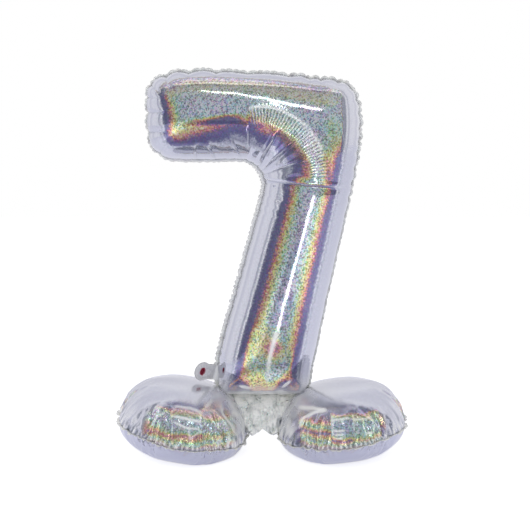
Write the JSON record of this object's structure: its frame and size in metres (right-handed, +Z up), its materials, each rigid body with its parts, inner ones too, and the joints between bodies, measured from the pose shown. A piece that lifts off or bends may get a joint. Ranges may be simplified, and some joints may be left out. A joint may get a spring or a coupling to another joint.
{
  "type": "foil number balloon",
  "caption": "Standing foil balloon shaped as a figure seven, on air-filled foot pillows joined by a gathered waist, with a side filling tail.",
  "frame": {"origin": "on the floor under the middle of the balloon's outer box", "axes": "+Z up, the figure's front faces -Y, +X to the reader's right"},
  "size_m": [0.5558, 0.346, 0.719],
  "materials": {
    "foil_sheet": "vacuum-metallised holographic polyester film, glossy, rainbow diffraction",
    "foil_weld": "heat-sealed edge of the same film, finely crinkled",
    "tail_sheet": "the same film, left flat and slightly puffed",
    "valve_film": "clear polyethylene valve sheet",
    "valve_ink": "red release ink printed round the filling hole"
  },
  "bodies": {
    "base": {"left_foot_top_film": "foil_sheet", "left_foot_bottom_film": "foil_sheet", "left_foot_seam": "foil_weld", "right_foot_top_film": "foil_sheet", "right_foot_bottom_film": "foil_sheet", "right_foot_seam": "foil_weld", "waist_front_film": "foil_sheet", "waist_back_film": "foil_sheet"},
    "number": {"number_front_film": "foil_sheet", "number_back_film": "foil_sheet", "number_seam": "foil_weld", "valve_front_ply": "valve_film", "valve_back_ply": "valve_film", "valve_side_welds": "valve_film"},
    "tail": {"tail_front_film": "tail_sheet", "tail_back_film": "tail_sheet", "tail_seam": "foil_weld", "tail_valve_front_ply": "valve_film", "tail_valve_back_ply": "valve_film", "inlet_mark": "valve_ink"}
  },
  "joints": [
    {"name": "number_lean", "type": "hinge", "parent": "base", "child": "number", "pos_m": [0.002, 0, 0.105], "axis": [1, 0, 0], "range_deg": [-4, 4], "stiffness_Nm_per_rad": 0.6},
    {"name": "tail_flap", "type": "hinge", "parent": "number", "child": "tail", "pos_m": [-0.09, 0, 0.15], "axis": [0.2419, 0, 0.9703], "range_deg": [-100, 40]}
  ]
}
